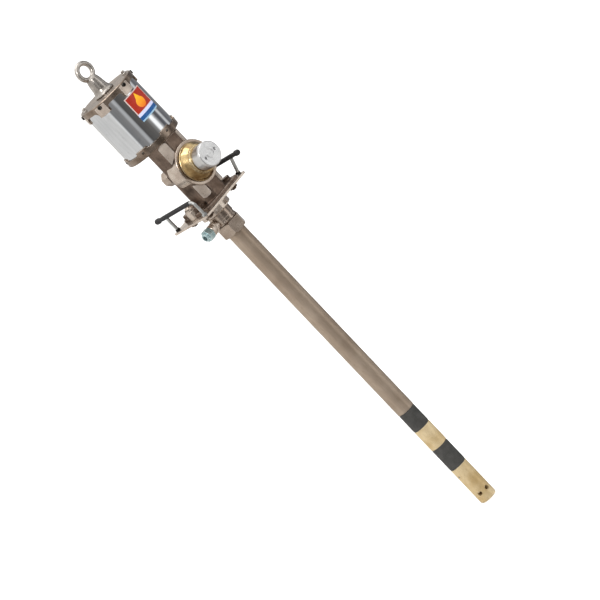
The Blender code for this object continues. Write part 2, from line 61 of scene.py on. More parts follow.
def edge(node, axis, side):
    """One face of a CAD node's box, in millimetres: side 0 is the lowest, 1 the highest."""
    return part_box(node)[side][axis] / MM


def heights(node):
    return edge(node, 2, 0), edge(node, 2, 1)


# Heights and sizes read from the frame.
SLEEVE_LOW, SLEEVE_LOW_TOP = heights("lower_black_sleeve")
SLEEVE_HIGH, SLEEVE_HIGH_TOP = heights("upper_black_sleeve")
TUBE_LOW = edge("suction_tube", 2, 0)
COLLAR_LOW, COLLAR_TOP = heights("tube_collar")
RING_LOW, RING_TOP = heights("lock_ring")
PLATE_LOW, PLATE_TOP = heights("handle_plate")
PLATE_X = edge("handle_plate", 0, 1)
PLATE_Y = edge("handle_plate", 1, 1)
COLUMN_LOW, COLUMN_TOP = heights("center_body")
HEAD_LOW = edge("bottom_head", 2, 0)
CYLINDER_LOW, CYLINDER_TOP = heights("cylinder_tube")
CYLINDER_R = edge("cylinder_tube", 0, 1)
HEAD_R = edge("top_head", 0, 1)
COVER_TOP = edge("top_head", 2, 1)
EYE_LOW, EYE_TOP = heights("lifting_eye")
TUBE_R = edge("suction_tube", 0, 1)
BARREL_LOW, BARREL_TOP = heights("pump_barrel")
BARREL_BORE = 18.0
INTAKE_Z = 28.0           # middle of the intake holes
STOP_PIN_Z = 94.0         # pin that stops the foot ball
ROD_BORE = 16.0           # hole for the piston rod through base, column and plate
VALVE_Z = sum(heights("end_cap")) / 2
CAP_END = -edge("end_cap", 1, 0)
BOSS_Z = 1068.0           # axis of the bosses on the column's sides
DOME_TOP = 1084.0         # domed caps on the column's foot
DOME_X = 57.0
HANDLE_X = 85.0
HANDLE_Z = 1096.0         # middle of the handles' bars
ROD_R = 4.0
ROD_STEPS = 7             # sides of a handle's rod in each quarter, less one
PORT_Z = sum(heights("outlet_nipple")) / 2
NIPPLE_END = -edge("outlet_nipple", 0, 0)
SCREW_Z = sum(heights("head_screw_1")) / 2

FRONT = Matrix.Translation((0, 0, VALVE_Z)) @ Matrix.Rotation(math.pi / 2, 4, "X")
FRONT_AXIS = (0, -1, 0)


# ---------------------------------------------------------------- shader kit

class Wire:
    """A socket in a node tree, for arithmetic on values."""

    def __init__(self, tree, socket):
        self.tree = tree
        self.socket = socket

    def math(self, operation, *values, clamp=False):
        node = self.tree.nodes.new("ShaderNodeMath")
        node.operation = operation
        node.use_clamp = clamp
        for place, value in zip(node.inputs, values):
            plug(self.tree, place, value)
        return Wire(self.tree, node.outputs[0])

    def __add__(self, other):
        return self.math("ADD", self, other)

    def __sub__(self, other):
        return self.math("SUBTRACT", self, other)

    def __rsub__(self, other):
        return self.math("SUBTRACT", other, self)

    def __mul__(self, other):
        return self.math("MULTIPLY", self, other)

    def __truediv__(self, other):
        return self.math("DIVIDE", self, other)

    def __gt__(self, other):
        return self.math("GREATER_THAN", self, other)

    def __lt__(self, other):
        return self.math("LESS_THAN", self, other)

    __radd__ = __add__
    __rmul__ = __mul__

    def above(self, low, high):
        """0 up to low, 1 from high, and a straight ramp between."""
        return self.math("MULTIPLY_ADD", self, 1 / (high - low), -low / (high - low), clamp=True)


def plug(tree, place, value):
    """Link a wire to a node's socket, or set the socket's value."""
    if isinstance(value, Wire):
        tree.links.new(value.socket, place)
    elif isinstance(value, tuple) and len(value) == 3 and place.type == "RGBA":
        place.default_value = (*value, 1)
    else:
        place.default_value = value


class Shading:
    """One node tree, and the one way to make a node in it."""

    def __init__(self, tree):
        self.tree = tree

    def node(self, kind, settings=None, sockets=None, output=0):
        node = self.tree.nodes.new("ShaderNode" + kind)
        for name, value in (settings or {}).items():
            if name == "stops":
                set_stops(node.color_ramp, value)
            else:
                setattr(node, name, value)
        for name, value in (sockets or {}).items():
            plug(self.tree, node.inputs[name], value)
        return Wire(self.tree, node.outputs[output])

    def mix(self, factor, first, second, blend="MIX"):
        """A colour between two colours."""
        return self.node("Mix", {"data_type": "RGBA", "blend_type": blend, "clamp_factor": True},
                         {0: factor, 6: first, 7: second}, 2)

    def split(self, vector):
        """The x, y and z of a vector."""
        parts = self.tree.nodes.new("ShaderNodeSeparateXYZ")
        plug(self.tree, parts.inputs[0], vector)
        return [Wire(self.tree, parts.outputs[axis]) for axis in range(3)]

    def place(self, stretch=(1, 1, 1)):
        """Object coordinates, stretched along the axes."""
        here = self.node("TexCoord", output=3)
        return self.node("Mapping", sockets={"Vector": here, "Scale": stretch})

    def noise(self, scale, detail=3.0, stretch=(1, 1, 1)):
        """Noise from 0 to 1; a scale of 1000 has grains of about a millimetre."""
        return self.node("TexNoise", sockets={
            "Vector": self.place(stretch), "Scale": scale, "Detail": detail})

    def worn(self):
        """1 on the edges that a piece's shape marks as worn, 0 elsewhere."""
        return self.node("Attribute", {"attribute_name": "worn"}, output=2)


def set_stops(ramp, stops):
    while len(ramp.elements) < len(stops):
        ramp.elements.new(1)
    for element, (position, color) in zip(ramp.elements, stops):
        element.position = position
        element.color = (*color, 1)


def finish_of(name):
    """A new material, its node kit and its shader."""
    material = bpy.data.materials.new(name)
    material.use_nodes = True
    kit = Shading(material.node_tree)
    return material, kit, material.node_tree.nodes["Principled BSDF"]


def finish_surface(kit, shader, color, roughness, strength, distance, height):
    """Give the shader its colour, its roughness and a bump of the height."""
    relief = kit.node("Bump", sockets={"Strength": strength, "Distance": distance, "Height": height})
    for socket, value in (("Base Color", color), ("Roughness", roughness), ("Normal", relief)):
        plug(kit.tree, shader.inputs[socket], value)


def metal(name, dark, light, rough, grain, bump, worn, brush=(1, 1, 1), patches=28.0,
          metallic=1.0, spots=0.30, lathe=False):
    """A metal that drifts between two colours, with a brushed or cast grain and brighter worn edges.

    rough is (smoothest, roughest); grain is the scale of the bump, worn the colour of rubbed edges.
    patches is the scale of the drift, spots the strength of dark specks; lathe adds turning marks
    about the air valve's axis.
    """
    material, kit, shader = finish_of(name)
    broad = kit.noise(patches, 4.0).above(0.35, 0.68)
    fine = kit.noise(grain, 3.0, brush)
    if lathe:
        centred = kit.node("Mapping",
                           sockets={"Vector": kit.place(), "Location": (0, 0, -VALVE_Z * MM)})
        rings = kit.node("TexWave", {"wave_type": "RINGS", "rings_direction": "Y"},
                         {"Vector": centred, "Scale": 420.0, "Distortion": 0.4, "Detail": 1.0})
        fine = rings * 0.8 + fine * 0.2
    specks = kit.noise(grain * 0.35, 5.0).above(0.60, 0.74)
    rubbed = kit.worn() * kit.noise(240.0, 3.0).above(0.38, 0.6)
    body = kit.mix(broad, dark, light)
    shade = kit.mix(fine.above(0.3, 0.7) * 0.35, body, tuple(value * 0.72 for value in dark))
    spotted = kit.mix(specks * spots, shade, tuple(value * 0.5 for value in dark))
    color = kit.mix(rubbed * 0.8, spotted, worn)
    spread = rough[1] - rough[0]
    roughness = fine.above(0.25, 0.75) * (spread * 0.55) + broad * (spread * 0.45) + rough[0] + specks * 0.08
    finish_surface(kit, shader, color, roughness, bump, 0.0004, fine + broad * 0.5)
    shader.inputs["Metallic"].default_value = metallic
    return material


def rubber(name, dark, light, rough, grain, bump):
    """A matt black skin with dusty patches and a fine moulded or woven grain."""
    material, kit, shader = finish_of(name)
    dust = kit.noise(60.0, 5.0).above(0.42, 0.75)
    fine = kit.noise(grain, 2.0)
    rubbed = kit.worn() * kit.noise(300.0).above(0.35, 0.6)
    color = kit.mix(rubbed * 0.5, kit.mix(dust * 0.6, dark, light), tuple(value * 2.2 for value in light))
    roughness = fine.above(0.3, 0.7) * (rough[1] - rough[0]) + rough[0] - rubbed * 0.1
    finish_surface(kit, shader, color, roughness, bump, 0.0005, fine + dust * 0.3)
    return material


def sleeve_skin(name):
    """Charcoal sleeve with fine crossed turns of tape."""
    material, kit, shader = finish_of(name)
    turns = kit.node("TexWave", {"bands_direction": "Z"}, {
        "Vector": kit.place(), "Scale": 130.0, "Distortion": 1.6, "Detail": 3.0, "Detail Scale": 2.0})
    fine = kit.noise(900.0, 3.0)
    dust = kit.noise(45.0, 5.0).above(0.4, 0.72)
    tone = turns * 0.45 + fine * 0.35 + dust * 0.35
    color = kit.mix(tone, (0.016, 0.016, 0.014), (0.085, 0.083, 0.078))
    roughness = fine * 0.25 + 0.50 - turns * 0.10
    finish_surface(kit, shader, color, roughness, 0.45, 0.0004, turns * 0.8 + fine)
    return material


def label_print(name):
    """A plain sticker: red field with an amber drop, white edge, pale and blue bands below."""
    material, kit, shader = finish_of(name)
    spot = kit.node("UVMap")
    across, up, _ = kit.split(spot)
    off_axis = (across - 0.5).math("ABSOLUTE", across - 0.5)
    in_panel = (up > 0.31) * (up < 0.965) * (off_axis < 0.46)
    beside = off_axis * 0.92
    round_part = ((beside * beside + (up - 0.55) * (up - 0.55)) < 0.0400)
    taper = (beside < (0.94 - up) * 0.50) * (up > 0.62)
    drop = (round_part + taper) > 0.5
    tone = kit.noise(90.0, 4.0)
    red = kit.mix(tone, (0.30, 0.012, 0.006), (0.45, 0.032, 0.012))
    amber = kit.mix((up - 0.36) * 2.2, (0.78, 0.17, 0.008), (0.95, 0.48, 0.015))
    field = kit.mix(drop, red, amber)
    pale = kit.mix(tone, (0.50, 0.52, 0.80), (0.74, 0.76, 0.94))
    blue = kit.mix(tone, (0.010, 0.06, 0.22), (0.02, 0.12, 0.34))
    lower = kit.mix(up < 0.19, pale, kit.mix(up < 0.05, blue, (0.30, 0.48, 0.62)))
    whole = kit.mix(in_panel, kit.mix(up < 0.29, (0.62, 0.48, 0.45), lower), field)
    fine = kit.noise(700.0, 2.0)
    finish_surface(kit, shader, whole, fine * 0.16 + 0.26, 0.12, 0.0003, fine)
    shader.inputs["Coat Weight"].default_value = 0.1
    shader.inputs["Specular IOR Level"].default_value = 0.25
    return material


NICKEL = metal("nickel_casting", (0.34, 0.26, 0.205), (0.62, 0.53, 0.45), (0.15, 0.30), 420.0, 0.20,
               (0.82, 0.73, 0.65), patches=22.0, metallic=0.94, spots=0.12)
NICKEL_BROWN = metal("nickel_heads", (0.19, 0.140, 0.105), (0.44, 0.355, 0.29), (0.18, 0.34), 420.0, 0.24,
                     (0.78, 0.69, 0.61), patches=26.0, metallic=0.92, spots=0.2)
# Painted shade: the column casting gets a much darker nickel than the other nickel pieces, to stand in for
# the shade on its sides under the motor.
NICKEL_PAINTED_SHADE = metal("nickel_raw_casting", (0.100, 0.066, 0.047), (0.28, 0.205, 0.158), (0.26, 0.46), 300.0,
                    0.50,
                    (0.56, 0.46, 0.39), patches=30.0, metallic=0.86)
NICKEL_PALE = metal("nickel_machined", (0.52, 0.43, 0.36), (0.78, 0.69, 0.60), (0.17, 0.34), 500.0, 0.22,
                    (0.88, 0.80, 0.74), brush=(1, 1, 0.12), patches=34.0, metallic=0.80)
NICKEL_WARM = metal("nickel_pads", (0.45, 0.375, 0.315), (0.70, 0.61, 0.53), (0.24, 0.40), 460.0, 0.26,
                    (0.86, 0.79, 0.72), patches=34.0, metallic=0.5)
NICKEL_STEEL = metal("nickel_forging", (0.34, 0.31, 0.28), (0.66, 0.62, 0.575), (0.18, 0.34), 520.0, 0.25,
                     (0.80, 0.76, 0.71), patches=40.0, metallic=0.85)
TUBE_METAL = metal("tube_satin", (0.36, 0.275, 0.205), (0.52, 0.425, 0.335), (0.38, 0.52), 640.0, 0.16,
                   (0.70, 0.62, 0.55), brush=(1, 1, 0.05), patches=12.0, metallic=0.70)
CHROME = metal("mirror_chrome", (0.67, 0.69, 0.715), (0.80, 0.82, 0.84), (0.035, 0.085), 160.0, 0.020,
               (0.92, 0.93, 0.95), brush=(1, 1, 0.08), patches=9.0)
BRASS = metal("bright_brass", (0.20, 0.105, 0.035), (0.74, 0.55, 0.27), (0.08, 0.20), 460.0, 0.12,
              (0.96, 0.84, 0.58), patches=26.0)
CAP_METAL = metal("turned_aluminium", (0.72, 0.725, 0.73), (0.88, 0.885, 0.89), (0.22, 0.32), 700.0, 0.10,
                  (0.95, 0.95, 0.96), patches=44.0, spots=0.0, lathe=True)
ZINC = metal("zinc_plate", (0.42, 0.425, 0.42), (0.62, 0.63, 0.62), (0.24, 0.38), 560.0, 0.20,
             (0.82, 0.84, 0.86), patches=50.0, metallic=0.85)
BLUE_ZINC = metal("blue_zinc", (0.30, 0.44, 0.46), (0.60, 0.74, 0.76), (0.18, 0.32), 520.0, 0.20,
                  (0.80, 0.92, 0.94), patches=60.0, metallic=0.70)
BOLT_STEEL = metal("brown_bolt_steel", (0.105, 0.066, 0.045), (0.27, 0.195, 0.145), (0.24, 0.42), 480.0, 0.25,
                   (0.52, 0.43, 0.36), patches=60.0)
BLACK_STEEL = metal("blackened_steel", (0.022, 0.020, 0.018), (0.060, 0.056, 0.050), (0.30, 0.48), 500.0,
                    0.25,
                    (0.24, 0.22, 0.20), patches=60.0)
STEEL = metal("ground_steel", (0.34, 0.34, 0.345), (0.56, 0.56, 0.565), (0.20, 0.34), 620.0, 0.16,
              (0.75, 0.75, 0.76), patches=40.0)
TAN = metal("tan_chromate", (0.56, 0.40, 0.185), (0.80, 0.66, 0.42), (0.36, 0.52), 520.0, 0.20,
            (0.90, 0.80, 0.60), brush=(1, 1, 0.3), patches=20.0, metallic=0.40)
RUBBER = rubber("grip_rubber", (0.012, 0.012, 0.013), (0.035, 0.035, 0.037), (0.45, 0.70), 700.0, 0.35)
SEAL = rubber("seal_rubber", (0.010, 0.010, 0.010), (0.024, 0.024, 0.024), (0.40, 0.62), 600.0, 0.20)
SLEEVE = sleeve_skin("charcoal_sleeve")
STICKER = label_print("sticker_print")

# The finishes of each material slot; a CAD node takes the first.
FINISHES = {
    "polished_nickel": (NICKEL, NICKEL_BROWN, NICKEL_PAINTED_SHADE, NICKEL_PALE, NICKEL_WARM, NICKEL_STEEL),
    "tube_nickel": (TUBE_METAL,), "chrome": (CHROME,), "brass": (BRASS,), "aluminium": (CAP_METAL,),
    "zinc": (ZINC, BLUE_ZINC), "steel": (STEEL,), "dark_steel": (BLACK_STEEL, BOLT_STEEL),
    "tan": (TAN,), "black_sleeve": (SLEEVE,), "grip_rubber": (RUBBER,), "seal": (SEAL,),
    "label": (STICKER,),
}


# ---------------------------------------------------------------- shape kit

def soften(outline, radius, steps=3, on_axis=True):
    """The closed outline with its corners rounded; corners on the turning axis stay."""
    points = []
    for index, corner in enumerate(outline):
        here = Vector(corner)
        before = Vector(outline[index - 1]) - here
        after = Vector(outline[(index + 1) % len(outline)]) - here
        if on_axis and abs(here.x) < 0.01:
            points.append(corner)
            continue
        reach = min(radius, before.length * 0.4, after.length * 0.4)
        start = here + before.normalized() * reach
        end = here + after.normalized() * reach
        for step in range(steps + 1):
            t = step / steps
            spot = start * (1 - t) ** 2 + here * (2 * t * (1 - t)) + end * t ** 2
            points.append((spot.x, spot.y))
    return points


def turn_into(bm, outline, sides, place=Matrix()):
    """Turn a closed outline of (radius, height) about the place's Z axis."""
    rings = []
    for radius, height in outline:
        if radius < 0.01:
            rings.append([bm.verts.new(place @ Vector((0, 0, height)))])
            continue
        steps = [math.tau * step / sides for step in range(sides)]
        rings.append([bm.verts.new(place @ Vector((radius * math.cos(step), radius * math.sin(step), height)))
                      for step in steps])
    for low, high in zip(rings, rings[1:] + rings[:1]):
        if len(low) == 1 and len(high) == 1:
            continue
        for step in range(sides):
            corners = [low[step % len(low)], low[(step + 1) % len(low)],
                       high[(step + 1) % len(high)], high[step % len(high)]]
            bm.faces.new(list(dict.fromkeys(corners)))


def prism_into(bm, outline, low, high, place=Matrix()):
    """Extrude a closed outline of (x, y) from low to high along the place's Z axis."""
    lower = [bm.verts.new(place @ Vector((x, y, low))) for x, y in outline]
    upper = [bm.verts.new(place @ Vector((x, y, high))) for x, y in outline]
    bm.faces.new(lower[::-1])
    bm.faces.new(upper)
    for index in range(len(outline)):
        after = (index + 1) % len(outline)
        bm.faces.new([lower[index], lower[after], upper[after], upper[index]])


def new_object(name, data):
    obj = bpy.data.objects.new(name, data)
    bpy.context.scene.collection.objects.link(obj)
    return obj


def solid(name, bm):
    """An object of the bmesh, in metres."""
    bmesh.ops.recalc_face_normals(bm, faces=bm.faces)
    bmesh.ops.scale(bm, vec=(MM, MM, MM), verts=bm.verts)
    mesh = bpy.data.meshes.new(name)
    bm.to_mesh(mesh)
    bm.free()
    return new_object(name, mesh)


def turned(name, outline, radius=0.6, sides=FINE, place=Matrix()):
    bm = bmesh.new()
    turn_into(bm, soften(outline, radius), sides, place)
    return solid(name, bm)


def prism(name, outline, low, high, place=Matrix()):
    bm = bmesh.new()
    prism_into(bm, outline, low, high, place)
    return solid(name, bm)


def tube_outline(inner, outer, low, high):
    return [(inner, low), (outer, low), (outer, high), (inner, high)]


def rod_outline(radius, low, high):
    return tube_outline(0, radius, low, high)


def polygon(sides, radius, turn=0.0):
    steps = [math.tau * step / sides + turn for step in range(sides)]
    return [(radius * math.cos(step), radius * math.sin(step)) for step in steps]


def rectangle(left, right, front, back, radius, steps=6):
    return soften([(right, back), (left, back), (left, front), (right, front)], radius, steps, on_axis=False)


def around(count, start=0.0):
    return [math.radians(start + 360 * step / count) for step in range(count)]


def radial_place(angle, height):
    """A place on the pump's axis whose Z axis points outward, at an angle from the front towards +X."""
    out = Vector((math.sin(angle), -math.cos(angle), 0))
    side = Vector((0, 0, 1)).cross(out)
    turn = Matrix((side, Vector((0, 0, 1)), out)).transposed().to_4x4()
    return Matrix.Translation((0, 0, height)) @ turn


def along(axis, origin=(0, 0, 0)):
    """A place at the origin given, with its Z axis along the axis given."""
    turn = Vector((0, 0, 1)).rotation_difference(Vector(axis))
    return Matrix.Translation(origin) @ turn.to_matrix().to_4x4()


def combine(obj, other, operation):
    """Join or cut another solid, and delete it."""
    modifier = obj.modifiers.new("combine", "BOOLEAN")
    modifier.operation = operation
    modifier.solver = "EXACT"
    modifier.object = other
    bake(obj)
    bpy.data.objects.remove(other, do_unlink=True)


def trim(obj, outline, rounding, sides=FINE, place=Matrix()):
    """Keep what lies inside a turned outline, as a lathe leaves a nut's crowns."""
    combine(obj, turned("crown", outline, rounding, sides, place), "INTERSECT")


def drill(obj, radius, low, high, sides=FINE, place=Matrix()):
    """Bore a round hole along the place's Z axis; its ends lie outside the piece."""
    combine(obj, turned("bore", rod_outline(radius, low, high), 0.1, sides, place), "DIFFERENCE")


def bake(obj):
    """Apply the object's modifiers."""
    shown = obj.evaluated_get(bpy.context.evaluated_depsgraph_get())
    mesh = bpy.data.meshes.new_from_object(shown)
    obj.modifiers.clear()
    obj.data = mesh
    mesh.name = obj.name


def tidy_faces(obj):
    """Merge doubled corners and flat neighbouring faces left by cuts."""
    bm = bmesh.new()
    bm.from_mesh(obj.data)
    bmesh.ops.remove_doubles(bm, verts=bm.verts, dist=0.00002)
    bmesh.ops.dissolve_limit(bm, angle_limit=math.radians(0.4), verts=bm.verts, edges=bm.edges)
    bm.to_mesh(obj.data)
    bm.free()


def mark_worn(obj):
    """Mark the narrow faces along corners, which wear brighter."""
    bm = bmesh.new()
    bm.from_mesh(obj.data)
    layer = bm.faces.layers.float.new("worn")
    for face in bm.faces:
        for side in face.edges:
            if len(side.link_faces) == 2 and side.calc_face_angle(0) > math.radians(14):
                if side.calc_length() > 0 and face.calc_area() / side.calc_length() < 1.0 * MM:
                    face[layer] = 1.0
                    break
    bm.to_mesh(obj.data)
    bm.free()


def mark_ridges(obj, height):
    """Mark the rounded outer edges of a casting, which wear brighter; height is how far they stand out."""
    bm = bmesh.new()
    bm.from_mesh(obj.data)
    bm.normal_update()
    layer = bm.verts.layers.float.new("worn")
    for vert in bm.verts:
        around_it = [side.other_vert(vert).co for side in vert.link_edges]
        middle = sum(around_it, Vector()) / len(around_it)
        vert[layer] = min(1.0, max(0.0, (vert.co - middle).dot(vert.normal) / (height * MM)))
    bm.to_mesh(obj.data)
    bm.free()


def round_off(obj, grain, rounds):
    """Round every edge and corner of a casting or forging."""
    remesh = obj.modifiers.new("remesh", "REMESH")
    remesh.mode = "VOXEL"
    remesh.voxel_size = grain * MM
    smooth = obj.modifiers.new("smooth", "SMOOTH")
    smooth.factor = 0.5
    smooth.iterations = rounds
    bake(obj)


def show(obj, material, nodes=(), bevel=0.0, ridges=0.0):
    """Finish a piece: bevelled edges, smooth shading, worn corners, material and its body."""
    if bevel:
        tidy_faces(obj)
        modifier = obj.modifiers.new("edges", "BEVEL")
        modifier.width = bevel * MM
        modifier.segments = 2
        modifier.limit_method = "ANGLE"
        modifier.angle_limit = math.radians(28)
        modifier.use_clamp_overlap = False
        bake(obj)
    if ridges:
        mark_ridges(obj, ridges)
    else:
        mark_worn(obj)
    obj.data.shade_smooth()
    obj.data.set_sharp_from_angle(angle=math.radians(38))
    normals = obj.modifiers.new("normals", "WEIGHTED_NORMAL")
    normals.keep_sharp = True
    normals.weight = 100
    bake(obj)
    obj.data.materials.clear()
    obj.data.materials.append(material)
    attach(obj, BODY)
    if nodes:
        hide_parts(*nodes)


# ---------------------------------------------------------------- repeated details, by Geometry Nodes

class Rig:
    """A Geometry Nodes tree under construction."""

    def __init__(self, name):
        self.group = bpy.data.node_groups.new(name, "GeometryNodeTree")
        self.group.interface.new_socket("Geometry", in_out="OUTPUT", socket_type="NodeSocketGeometry")
        self.entry = self.group.nodes.new("NodeGroupInput")
        self.exit = self.group.nodes.new("NodeGroupOutput")

    def size(self, name, kind="Float"):
        """A named input of the tree."""
        self.group.interface.new_socket(name, in_out="INPUT", socket_type="NodeSocket" + kind)
        return self.entry.outputs[name]

    def node(self, kind, settings=None, sockets=None, output=0):
        node = self.group.nodes.new(kind)
        for name, value in (settings or {}).items():
            setattr(node, name, value)
        for name, value in (sockets or {}).items():
            if isinstance(value, bpy.types.NodeSocket):
                self.group.links.new(value, node.inputs[name])
            else:
                node.inputs[name].default_value = value
        return node.outputs[output]

    def shape(self, kind, sockets=None, output=0):
        return self.node("GeometryNode" + kind, sockets=sockets, output=output)

    def maths(self, operation, *values):
        return self.node("ShaderNodeMath", {"operation": operation}, dict(enumerate(values)))

    def upward(self, height):
        """A vector along Z."""
        return self.node("ShaderNodeCombineXYZ", sockets={2: height})

    def close(self, geometry, material):
        """End in plain geometry with its material."""
        real = self.shape("RealizeInstances", {"Geometry": geometry})
        painted = self.shape("SetMaterial", {"Geometry": real, "Material": material})
        self.group.links.new(painted, self.exit.inputs[0])
        return self.group


def circle_of_parts_rig():
    """Copies of one part, turned evenly about the Z axis."""
    rig = Rig("circle_of_parts")
    part = rig.size("Part", "Object")
    count = rig.size("Count", "Int")
    start = rig.size("Start Angle")
    material = rig.size("Material", "Material")
    points = rig.shape("MeshLine", {"Count": count, "Offset": (0.0, 0.0, 0.0)})
    index = rig.shape("InputIndex")
    share = rig.maths("DIVIDE", index, count)
    turn = rig.maths("MULTIPLY_ADD", share, math.tau, start)
    spin = rig.upward(turn)
    shape = rig.shape("ObjectInfo", {"Object": part}, output="Geometry")
    copies = rig.shape("InstanceOnPoints", {"Points": points, "Instance": shape, "Rotation": spin})
    return rig.close(copies, material)


def row_of_ribs_rig():
    """Thin rings in a row along Z, for moulded ribs and tape turns."""
    rig = Rig("row_of_ribs")
    count = rig.size("Count", "Int")
    first = rig.size("First Height")
    spacing = rig.size("Spacing")
    radius = rig.size("Radius")
    thickness = rig.size("Thickness")
    material = rig.size("Material", "Material")
    begin = rig.upward(first)
    step = rig.upward(spacing)
    points = rig.shape("MeshLine", {"Count": count, "Start Location": begin, "Offset": step})
    loop = rig.shape("CurvePrimitiveCircle", {"Resolution": SMOOTH, "Radius": radius})
    wire = rig.shape("CurvePrimitiveCircle", {"Resolution": 6, "Radius": thickness})
    ring = rig.shape("CurveToMesh", {"Curve": loop, "Profile Curve": wire})
    copies = rig.shape("InstanceOnPoints", {"Points": points, "Instance": ring})
    return rig.close(copies, material)


def thread_rig():
    """One turn of thread after another along Z."""
    rig = Rig("thread")
    radius = rig.size("Radius")
    pitch = rig.size("Pitch")
    turns = rig.size("Turns")
    low = rig.size("Low Height")
    material = rig.size("Material", "Material")
    height = rig.maths("MULTIPLY", pitch, turns)
    wire = rig.maths("MULTIPLY", pitch, 0.36)
    spiral = rig.shape("CurveSpiral", {
        "Resolution": 32, "Rotations": turns, "Start Radius": radius, "End Radius": radius, "Height": height})
    profile = rig.shape("CurvePrimitiveCircle", {"Resolution": 4, "Radius": wire})
    crest = rig.shape("CurveToMesh", {"Curve": spiral, "Profile Curve": profile, "Fill Caps": True})
    lift = rig.upward(low)
    moved = rig.shape("Transform", {"Geometry": crest, "Translation": lift})
    return rig.close(moved, material)


def grow(name, group, material, place=Matrix(), **sizes):
    """Run a tree with the sizes given, as a plain mesh moved to its place."""
    obj = new_object(name, bpy.data.meshes.new(name))
    modifier = obj.modifiers.new("grow", "NODES")
    modifier.node_group = group
    keys = {item.name: item.identifier for item in group.interface.items_tree if item.in_out == "INPUT"}
    modifier[keys["Material"]] = material
    for label, value in sizes.items():
        modifier[keys[label.replace("_", " ")]] = value
    bake(obj)
    move = place.copy()
    move.translation = place.translation * MM
    obj.data.transform(move)
    return obj


CIRCLE_OF_PARTS = circle_of_parts_rig()
ROW_OF_RIBS = row_of_ribs_rig()
THREAD = thread_rig()


# ---------------------------------------------------------------- suction end

def make_foot():
    low = 0.4
    wall = [(TUBE_R - 0.5, height) for height in (100, 98, 90, 88, 60, 38, 36, 20, 18, 6)]
    housing = turned("foot_shell", [
        (0, 9), (16, 9), (16, 49.7), (20, 49.7), (20, SLEEVE_LOW - 0.3), (TUBE_R - 0.5, SLEEVE_LOW - 0.3),
        *wall, (TUBE_R - 0.5, 4), (TUBE_R - 3.5, low), (12, low), (10, 1.6), (0, 1.6)], 1.0)
    for angle in around(6):
        drill(housing, 6.25, 8, 40, COARSE, radial_place(angle, INTAKE_Z))
    cross = along((1, 0, 0), (0, 0, STOP_PIN_Z))
    drill(housing, 2.8, -40, 40, COARSE, cross)
    show(housing, TAN, ["foot_valve_housing"])
    pin = turned("ball_pin", rod_outline(2.5, -24, 24), 0.4, COARSE, cross)
    show(pin, STEEL, ["ball_stop_pin"])


def make_barrel():
    band_low, band_high = SLEEVE_LOW_TOP + 0.3, SLEEVE_HIGH - 0.3
    barrel = turned("barrel_with_band", [
        (BARREL_BORE, BARREL_TOP), (21, BARREL_TOP), (21, band_high), (TUBE_R - 0.9, band_high),
        (TUBE_R - 0.2, band_high - 1.2), (TUBE_R - 0.2, band_low + 1.2), (TUBE_R - 0.9, band_low),
        (21, band_low), (21, 121), (19.7, 121), (19.7, BARREL_LOW), (BARREL_BORE, BARREL_LOW)], 0.5)
    show(barrel, TAN, ["pump_barrel"])
    for name, low, high in (("lower_sleeve", SLEEVE_LOW, SLEEVE_LOW_TOP),
                            ("upper_sleeve", SLEEVE_HIGH, SLEEVE_HIGH_TOP)):
        sleeve = turned(name, [
            (21.3, low), (TUBE_R - 1.4, low), (TUBE_R - 0.6, low + 2.0), (TUBE_R - 0.6, high - 2.0),
            (TUBE_R - 1.4, high), (21.3, high)], 0.8)
        node = name.replace("sleeve", "black_sleeve")
        show(sleeve, SLEEVE, [node])
        count = int((high - low - 5) / 1.6)
        turns = grow(name + "_turns", ROW_OF_RIBS, SLEEVE, Count=count, First_Height=(low + 3.0) * MM,
                     Spacing=1.6 * MM, Radius=(TUBE_R - 0.65) * MM, Thickness=0.42 * MM)
        show(turns, SLEEVE)
    tube = turned("dip_tube", [
        (21.5, TUBE_LOW), (TUBE_R - 0.8, TUBE_LOW), (TUBE_R, TUBE_LOW + 1.2), (TUBE_R, COLLAR_LOW + 8),
        (21.5, COLLAR_LOW + 8)], 0.4, 128)
    show(tube, TUBE_METAL, ["suction_tube"])


# ---------------------------------------------------------------- outlet body

def make_collar():
    blank = prism("collar_nut", polygon(6, 38, math.radians(-10)), COLLAR_LOW, COLLAR_TOP)
    trim(blank, [
        (0, COLLAR_TOP), (34.2, COLLAR_TOP), (37.2, COLLAR_TOP - 2.6), (38.6, COLLAR_TOP - 6),
        (38.6, COLLAR_LOW + 6), (37.2, COLLAR_LOW + 2.6), (34.2, COLLAR_LOW), (0, COLLAR_LOW)], 1.0)
    drill(blank, TUBE_R + 0.3, COLLAR_LOW - 5, COLLAR_TOP + 5)
    groove = turned("groove", tube_outline(TUBE_R - 1, TUBE_R + 2.4, COLLAR_LOW - 5, COLLAR_LOW + 2.2), 0.2)
    combine(blank, groove, "DIFFERENCE")
    show(blank, NICKEL, ["tube_collar"], bevel=0.5)


